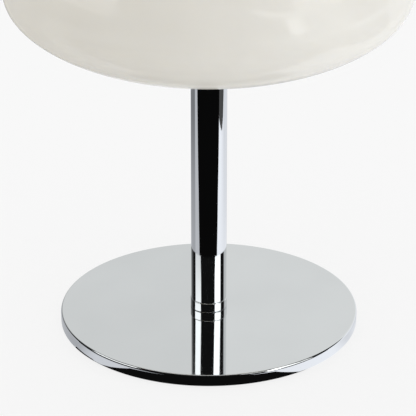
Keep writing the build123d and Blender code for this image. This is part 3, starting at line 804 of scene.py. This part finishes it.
class LAMP_OT_bulb(bpy.types.Operator):
    """Build the bulb's globe and threaded cap and dress its other pieces"""

    bl_idname = "lamp.bulb"
    bl_label = "Bulb"

    def execute(self, context):
        sizes = context.scene.lamp_sizes
        self.globe(sizes)
        self.cap(sizes)
        dress_nodes(
            "bulb_insulator", "bulb_tip", "bulb_housing", "led_board", "led_chips", "driver_board",
            "driver_components",
        )
        return {"FINISHED"}

    def globe(self, sizes):
        """The frosted globe, open below."""
        radius, low = radius_of("bulb_globe"), bottom_of("bulb_globe")
        centre = top_of("bulb_globe") - radius
        steps = 48

        def arc(reach):
            """Points from the opening up to the top."""
            start = asin((low - centre) / reach)
            angles = [start + (pi / 2 - start) * step / steps for step in range(steps)]
            points = [(reach * cos(angle), centre + reach * sin(angle)) for angle in angles]
            return points + [(0, centre + reach)]

        outline = arc(radius) + arc(radius - sizes.globe_wall)[::-1]
        mesh = turned_mesh("bulb_globe_blown", outline, segments=128)
        frosted = finish_of("frosted_globe")
        add_piece("bulb_globe_blown", mesh, "bulb", ["bulb_globe"], frosted)

    def cap(self, sizes):
        """The rolled metal cap, with a right-hand thread below a plain collar."""
        crest, low, high = radius_of("bulb_cap"), bottom_of("bulb_cap"), top_of("bulb_cap")
        root = crest - sizes.thread_depth
        bore = root - sizes.cap_wall
        floor = low + sizes.cap_wall
        collar = high - sizes.cap_collar
        levels = thread_levels(floor, collar - sizes.cap_step, sizes.thread_fade, sizes.pitch)
        outline = [(sizes.cap_hole, low), (root, low)] + [(root, z, share) for z, share in levels]
        outline += [(crest, collar + sizes.cap_step), (crest, high), (bore, high), (bore, floor)]
        outline.append((sizes.cap_hole, floor))
        thread = (sizes.pitch, sizes.thread_depth)
        mesh = turned_mesh("bulb_cap_rolled", outline, THREAD_SEGMENTS, thread)
        nickel = finish_of("nickel_shell")
        add_piece("bulb_cap_rolled", mesh, "bulb", ["bulb_cap"], nickel)


class LAMP_OT_wiring(bpy.types.Operator):
    """Dress the two wires and their crimp caps inside the stem"""

    bl_idname = "lamp.wiring"
    bl_label = "Wiring"

    def execute(self, context):
        dress_nodes("live_wire", "neutral_wire", "crimp_caps")
        return {"FINISHED"}


# The studio: lengths in metres, angles in degrees from the front to the right and upwards

# The camera, fitted to the photograph, tilted up from straight down
CAMERA_LENS = 176.6
CAMERA_SENSOR = 36
CAMERA_PLACE = (-0.00057, -1.3, 0.66195)
CAMERA_TILT = 66.05

# Soft light: angle round the lamp, angle up, distance, width and height, colour
LIGHTS = {
    "light_right": (58, 2.5, 1.7, (1.4, 0.44), (0.92, 0.98, 1.1)),
    "light_left": (-85, 6, 1.7, (2.4, 0.6), WHITE[:3]),
    "light_rear": (180, 45, 2.0, (2.0, 1.2), WHITE[:3]),
    "light_top": (0, 90, 2.2, (3.2, 3.2), WHITE[:3]),
}
# The height on the stem's axis that the soft lights face
LIGHT_AIM = 0.15

# Half the floor's side, its colour, the share of even white that the camera sees in it, and the
# tint of the painted light and shade on it that only reflections show
FLOOR_REACH = 4.0
PAPER_COLOUR = (0.9, 0.9, 0.9, 1)
PAPER_WHITE = 0.89
FLOOR_TINT = (0.965, 0.99, 1.04, 1)

# The tint of the room's reflections and the least that they shine
ROOM_TINT = (0.975, 0.995, 0.985, 1)
ROOM_LEAST = 0.012

# Brightness of the dark sheets that only reflections show: painted dark reflections, and painted
# shade beside the base's rim
PAINTED_DARK_TONES = {"painted_dark_reflection_front": 0.004, "painted_rim_shade": 0.006, "painted_dark_reflection_right": 0.1}
# Levels of the front sheet's flat part and of the two sheets that lie on the floor
FRONT_LEVEL = 0.5 * MM
FLAT_LEVEL = 0.2 * MM
# The front sheet, a painted dark reflection, slopes up to a brim with a lip along the base plate's
# rim
FRONT_GAP = 2 * MM
BRIM_DROP = 0.75 * MM
LIP_DEPTH = 0.65 * MM
UPPER_ARC = (-60, 52)
LOWER_ARC = (-60.7, 52.8)
LOWER_RADIUS = 0.137
# The front sheet's far edge: (x, y) from right to left
FRONT_DARK_EDGE = (
    (0.112, -0.084), (0.207, -0.124), (0.413, -0.167), (0.8, -0.27), (0.8, -2.5), (-0.8, -2.5),
    (-0.8, -0.155), (-0.432, -0.108), (-0.222, -0.094), (-0.122, -0.068),
)
# The near sheet, painted shade beside the rim and a painted dark reflection in front of it, starts
# along the base plate's rim
NEAR_GAP = 2.3 * MM
NEAR_ARC = (-63, -51)
# The rest of the near sheet's edge: (x, y) from left to right
NEAR_SHADE_EDGE = (
    (-0.0775, -0.0725), (-0.0715, -0.082), (-0.0675, -0.0898), (-0.0615, -0.101),
    (-0.0535, -0.115), (-0.047, -0.13), (-0.042, -0.2), (0.04, -0.2), (0.044, -0.125),
    (0.0495, -0.1115), (0.064, -0.0855), (0.0725, -0.07),
)
# The right sheet's outline, a painted dark reflection: (x, y)
RIGHT_DARK_OUTLINE = (
    (0.375, -0.6), (1.5, -0.6), (1.5, 0.5), (0.7, 0.25), (0.46, 0.13), (0.4, 0.07), (0.375, 0.0),
)


def stem_arc(distance, start, end, height, steps):
    """Points at a distance from the stem's axis, from a start to an end angle."""
    turns = [radians(start + (end - start) * step / steps) for step in range(steps + 1)]
    return [(distance * sin(turn), -distance * cos(turn), height) for turn in turns]


def strip(first, second):
    """The faces between two rows of points."""
    return [
        (first[step], second[step], second[step + 1], first[step + 1])
        for step in range(len(first) - 1)
    ]


def stage_sheet(name, faces, material):
    """A stage sheet of faces, each given by its corners."""
    mesh = bpy.data.meshes.new(name)
    points = [point for face in faces for point in face]
    places = iter(range(len(points)))
    mesh.from_pydata(points, [], [[next(places) for _ in face] for face in faces])
    mesh.materials.append(material)
    sheet = bpy.data.objects.new(name, mesh)
    bpy.context.scene.collection.objects.link(sheet)
    return sheet


def soft_light(name, brightness, azimuth, elevation, distance, size, colour):
    """A rectangular soft light that faces the lamp, brightness being that of its face."""
    width, height = size
    light = bpy.data.lights.new(name, "AREA")
    light.shape = "RECTANGLE"
    light.size, light.size_y = width, height
    light.energy = brightness * pi * width * height
    light.color = colour
    lamp = bpy.data.objects.new(name, light)
    around, up = radians(azimuth), radians(elevation)
    toward = Vector((sin(around) * cos(up), -cos(around) * cos(up), sin(up)))
    lamp.location = toward * distance + Vector((0, 0, LIGHT_AIM))
    lamp.rotation_euler = toward.to_track_quat("Z", "Y").to_euler()
    lamp.visible_camera = False
    lamp.visible_glossy = False
    bpy.context.scene.collection.objects.link(lamp)


class LAMP_OT_stage(bpy.types.Operator):
    """Set up the pale floor, the dark sheets of painted reflection and shade, the soft lights, the
    room and the camera
    """

    bl_idname = "lamp.stage"
    bl_label = "Stage"

    def execute(self, context):
        scene = context.scene
        scene.view_settings.view_transform = "Standard"
        settings = scene.lamp_stage
        self.floor(settings)
        self.painted_dark_sheets()
        soft_light("light_right", settings.key, *LIGHTS["light_right"])
        soft_light("light_left", settings.fill, *LIGHTS["light_left"])
        soft_light("light_rear", settings.rear, *LIGHTS["light_rear"])
        soft_light("light_top", settings.top, *LIGHTS["light_top"])
        self.room(scene, settings)
        self.camera(scene)
        return {"FINISHED"}

    def floor(self, settings):
        """Pale paper that keeps a soft shadow of the lamp; only reflections show the painted light
        and shade on it.
        """
        material = bpy.data.materials.new("paper")
        nodes = StageNodes(material)
        path = nodes.add("ShaderNodeLightPath").outputs
        paper = nodes.add("ShaderNodeBsdfDiffuse", PAPER_COLOUR).outputs[0]
        white = nodes.glow(WHITE, settings.paper)
        share = nodes.math("MULTIPLY", path["Is Camera Ray"], PAPER_WHITE)
        # Glossy rays see painted light and shade on the floor in place of its lit paper
        painted_floor_reflection = nodes.glow(FLOOR_TINT, self.painted_floor_light_and_shade(nodes))
        surface = nodes.mix(path["Is Glossy Ray"], nodes.mix(share, paper, white), painted_floor_reflection)
        nodes.add("ShaderNodeOutputMaterial", surface)
        far = FLOOR_REACH
        corners = [(-far, -far, 0), (far, -far, 0), (far, far, 0), (-far, far, 0)]
        stage_sheet("floor", [corners], material)

    def painted_floor_light_and_shade(self, nodes):
        """Painted light and shade on the floor, seen only in reflections: bright on the right, dim
        on the left.
        """
        x, y, _ = nodes.axes("Object")
        squares = nodes.math("ADD", nodes.math("MULTIPLY", x, x), nodes.math("MULTIPLY", y, y))
        away = nodes.math("SQRT", squares)
        side = nodes.ramp(x, -0.05, 0.05)

        # The open floor: painted light on the right, and painted shade on the left side, dimmer
        # behind a slanted line through the stem
        slant = nodes.math("MULTIPLY_ADD", x, 0.14, y)
        behind = nodes.ramp(slant, -0.03, 0.01)
        left = nodes.between(behind, 0.76, nodes.ramp(away, 0.12, 0.45, 0.56, 0.28))
        right = nodes.ramp(y, -0.1, 0.2, 1.38, 1.03)
        open_floor = nodes.between(side, left, right)

        # The strip round the base, with painted shade that dims it towards the rear
        left = nodes.ramp(y, -0.072, -0.045, 0.95, 0.59)
        right_front = nodes.ramp(y, -0.062, -0.032, 1.31, 0.97)
        right_rear = nodes.ramp(y, -0.025, 0, 1, 0.83)
        right = nodes.math("MULTIPLY", right_front, right_rear)
        rim_strip = nodes.between(side, left, right)
        near = nodes.between(nodes.ramp(away, 0.117, 0.127), rim_strip, open_floor)

        # The wedge behind the lamp, up to the backdrop, with painted shade that makes its right
        # side dimmer
        wedge = nodes.math("MULTIPLY_ADD", nodes.math("ABSOLUTE", x), -2.2, y)
        end = nodes.ramp(y, 0.5, 0.62, 1, 0)
        beyond = nodes.math("MULTIPLY", nodes.ramp(wedge, -0.02, 0.04), end)
        return nodes.between(beyond, near, nodes.ramp(x, -0.05, 0.05, 0.95, 0.6))

    def painted_dark_sheets(self):
        """Dark sheets that only the polished pieces show: painted dark reflections, and painted
        shade beside the base's rim.
        """
        rim = radius_of("base_plate")
        brim = top_of("base_plate") - BRIM_DROP
        upper = stem_arc(rim + FRONT_GAP, *UPPER_ARC, brim, steps=20)
        lower = stem_arc(LOWER_RADIUS, *LOWER_ARC, FRONT_LEVEL, steps=20)
        lip = [(x, y, z - LIP_DEPTH) for x, y, z in upper]
        front = strip(upper, lower) + strip(lip, upper)
        front.append(lower + [(x, y, FRONT_LEVEL) for x, y in FRONT_DARK_EDGE])
        near = stem_arc(rim + NEAR_GAP, *NEAR_ARC, FLAT_LEVEL, steps=4)
        near += [(x, y, FLAT_LEVEL) for x, y in NEAR_SHADE_EDGE]
        right = [(x, y, FLAT_LEVEL) for x, y in RIGHT_DARK_OUTLINE]
        # Each sheet glows dark to paint a dark reflection, or the shade beside the rim, into the
        # polished pieces
        for name, faces in (("painted_dark_reflection_front", front), ("painted_rim_shade", [near]), ("painted_dark_reflection_right", [right])):
            material = bpy.data.materials.new(name)
            nodes = StageNodes(material)
            nodes.add("ShaderNodeOutputMaterial", nodes.glow(WHITE, PAINTED_DARK_TONES[name]))
            dark_sheet = stage_sheet(name, faces, material)
            dark_sheet.visible_camera = False
            dark_sheet.visible_diffuse = False
            dark_sheet.visible_shadow = False
            dark_sheet.visible_transmission = False

    def room(self, scene, settings):
        """Even light, with painted reflections of panels, a backdrop and a ceiling that only
        reflections show and that light nothing.
        """
        scene.world = bpy.data.worlds.new("studio")
        nodes = StageNodes(scene.world)
        path = nodes.add("ShaderNodeLightPath").outputs
        x, y, z = nodes.axes("Generated")
        front = nodes.math("MULTIPLY", y, -1.0)
        around = nodes.math("DEGREES", nodes.math("ARCTAN2", x, front))
        up = nodes.math("DEGREES", nodes.math("ARCSINE", z))
        # Above 27 degrees, the panels are turned clockwise as seen from above
        turn = nodes.math("ADD", around, nodes.slope(up, 27, 28.6, 0, 6.5))
        right = self.right_panel(nodes, turn, up, settings.right_panel)
        left = self.left_panel(nodes, turn, up, settings.left_panel)
        panels = nodes.math("ADD", right, left)
        backdrop = self.backdrop(nodes, around, up, settings.backdrop)
        ceiling = nodes.ramp(up, 60, 70, 0.0, settings.ceiling)
        above = nodes.math("ADD", ceiling, ROOM_LEAST)
        strength = nodes.math("ADD", nodes.math("ADD", panels, backdrop), above)
        studio = nodes.sky(ROOM_TINT, strength)
        paper = nodes.sky(WHITE, settings.paper)
        even = nodes.sky(WHITE, settings.room)
        seen = nodes.mix(path["Is Camera Ray"], even, paper)
        # Glossy rays see the painted reflections of the studio; other rays see the even light or
        # the white backdrop
        nodes.add("ShaderNodeOutputWorld", nodes.mix(path["Is Glossy Ray"], seen, studio))

    def right_panel(self, nodes, around, up, brightness):
        """The painted reflection of a large panel on the right, with a slanted top and a brighter
        end near the front that paints the highlight on the glass.
        """
        step = nodes.ramp(up, 25.2, 26, 43.5, 39)
        lean = nodes.ramp(up, 28, 37, 0, -7)
        front = nodes.math("ADD", step, lean)
        inside = nodes.ramp(nodes.math("SUBTRACT", around, front), -1, 1)
        width = nodes.math("MULTIPLY", inside, nodes.ramp(around, 80.6, 82.6, 1, 0))
        slant = nodes.ramp(around, 36, 50, 38, 31)
        rise = nodes.ramp(around, 58, 66, 0, 19)
        top = nodes.math("ADD", slant, rise)
        under = nodes.ramp(nodes.math("SUBTRACT", up, top), -1.5, 1.5, 1, 0)
        height = nodes.math("MULTIPLY", under, nodes.ramp(up, -3, 1))
        front_end = nodes.ramp(up, 16, 26, 2.1, 1.15)
        rear_end = nodes.ramp(up, 21, 23.5, 0.45, 1)
        share = nodes.between(nodes.ramp(around, 48, 57), front_end, rear_end)
        shine = nodes.math("MULTIPLY", share, brightness)
        return nodes.math("MULTIPLY", shine, nodes.math("MULTIPLY", width, height))

    def left_panel(self, nodes, around, up, brightness):
        """The painted reflection of a panel on the left, with a dimmer seam across it and a dim
        lower half.
        """
        front = nodes.ramp(up, 25.2, 26, -56, -52)
        inside = nodes.ramp(nodes.math("SUBTRACT", around, front), -1, 1, 1, 0)
        width = nodes.math("MULTIPLY", inside, nodes.ramp(around, -97.5, -95.5))
        lower_half = nodes.ramp(up, 17, 21, 0.1, 1)
        height = nodes.math("MULTIPLY", nodes.band(up, 6, 39, 2), lower_half)
        seam = nodes.band(up, 22.5, 26.1, 1.2)
        share = nodes.between(seam, 1.15, 0.73)
        shine = nodes.math("MULTIPLY", share, brightness)
        return nodes.math("MULTIPLY", shine, nodes.math("MULTIPLY", width, height))

    def backdrop(self, nodes, around, up, brightness):
        """The painted reflection of a pale wall behind the lamp, which dims to the left and ends
        below the ceiling.
        """
        right_end = nodes.ramp(around, 108, 122)
        right_part = nodes.ramp(around, 130, 184, 1.17, 1.03)
        right = nodes.math("MULTIPLY", right_end, right_part)
        left = nodes.math("POWER", nodes.slope(around, -105, -174, 0, 0.99), 2.0)
        wall = nodes.math("ADD", right, left)
        return nodes.math("MULTIPLY", wall, nodes.ramp(up, 45, 62, brightness, 0.0))

    def camera(self, scene):
        """The camera of the photograph, as fitted to it."""
        camera = bpy.data.cameras.new("camera")
        camera.lens = CAMERA_LENS
        camera.sensor_width = CAMERA_SENSOR
        view = bpy.data.objects.new("camera", camera)
        view.location = CAMERA_PLACE
        view.rotation_euler = (radians(CAMERA_TILT), 0, 0)
        scene.collection.objects.link(view)
        scene.camera = view


class LAMP_PT_pieces(bpy.types.Panel):
    """Lists the lamp's groups of pieces and the sizes and colours to change"""

    bl_label = "Glass Table Lamp"
    bl_space_type = "VIEW_3D"
    bl_region_type = "UI"
    bl_category = "Lamp"

    def draw(self, context):
        scene = context.scene
        for group in (scene.lamp_sizes, scene.lamp_colours, scene.lamp_stage):
            for name in group.bl_rna.properties.keys():
                if name not in ("rna_type", "name"):
                    self.layout.prop(group, name)
        for operator in OPERATORS:
            self.layout.operator(operator.bl_idname)


GROUPS = {"lamp_sizes": LampSizes, "lamp_colours": LampColours, "lamp_stage": LampStage}
OPERATORS = (
    LAMP_OT_glass_shade, LAMP_OT_base, LAMP_OT_stem, LAMP_OT_lampholder, LAMP_OT_bulb,
    LAMP_OT_wiring, LAMP_OT_stage,
)


def register():
    """Registers the groups, operators and the panel."""
    for name, group in GROUPS.items():
        bpy.utils.register_class(group)
        setattr(bpy.types.Scene, name, bpy.props.PointerProperty(type=group))
    for cls in OPERATORS + (LAMP_PT_pieces,):
        bpy.utils.register_class(cls)


def unregister():
    """Takes back what register added."""
    for cls in (LAMP_PT_pieces,) + OPERATORS[::-1]:
        bpy.utils.unregister_class(cls)
    for name, group in GROUPS.items():
        delattr(bpy.types.Scene, name)
        bpy.utils.unregister_class(group)


def main():
    """Builds the whole scene."""
    register()
    bpy.ops.lamp.glass_shade()
    bpy.ops.lamp.base()
    bpy.ops.lamp.stem()
    bpy.ops.lamp.lampholder()
    bpy.ops.lamp.bulb()
    bpy.ops.lamp.wiring()
    bpy.ops.lamp.stage()


if __name__ == "__main__":
    main()
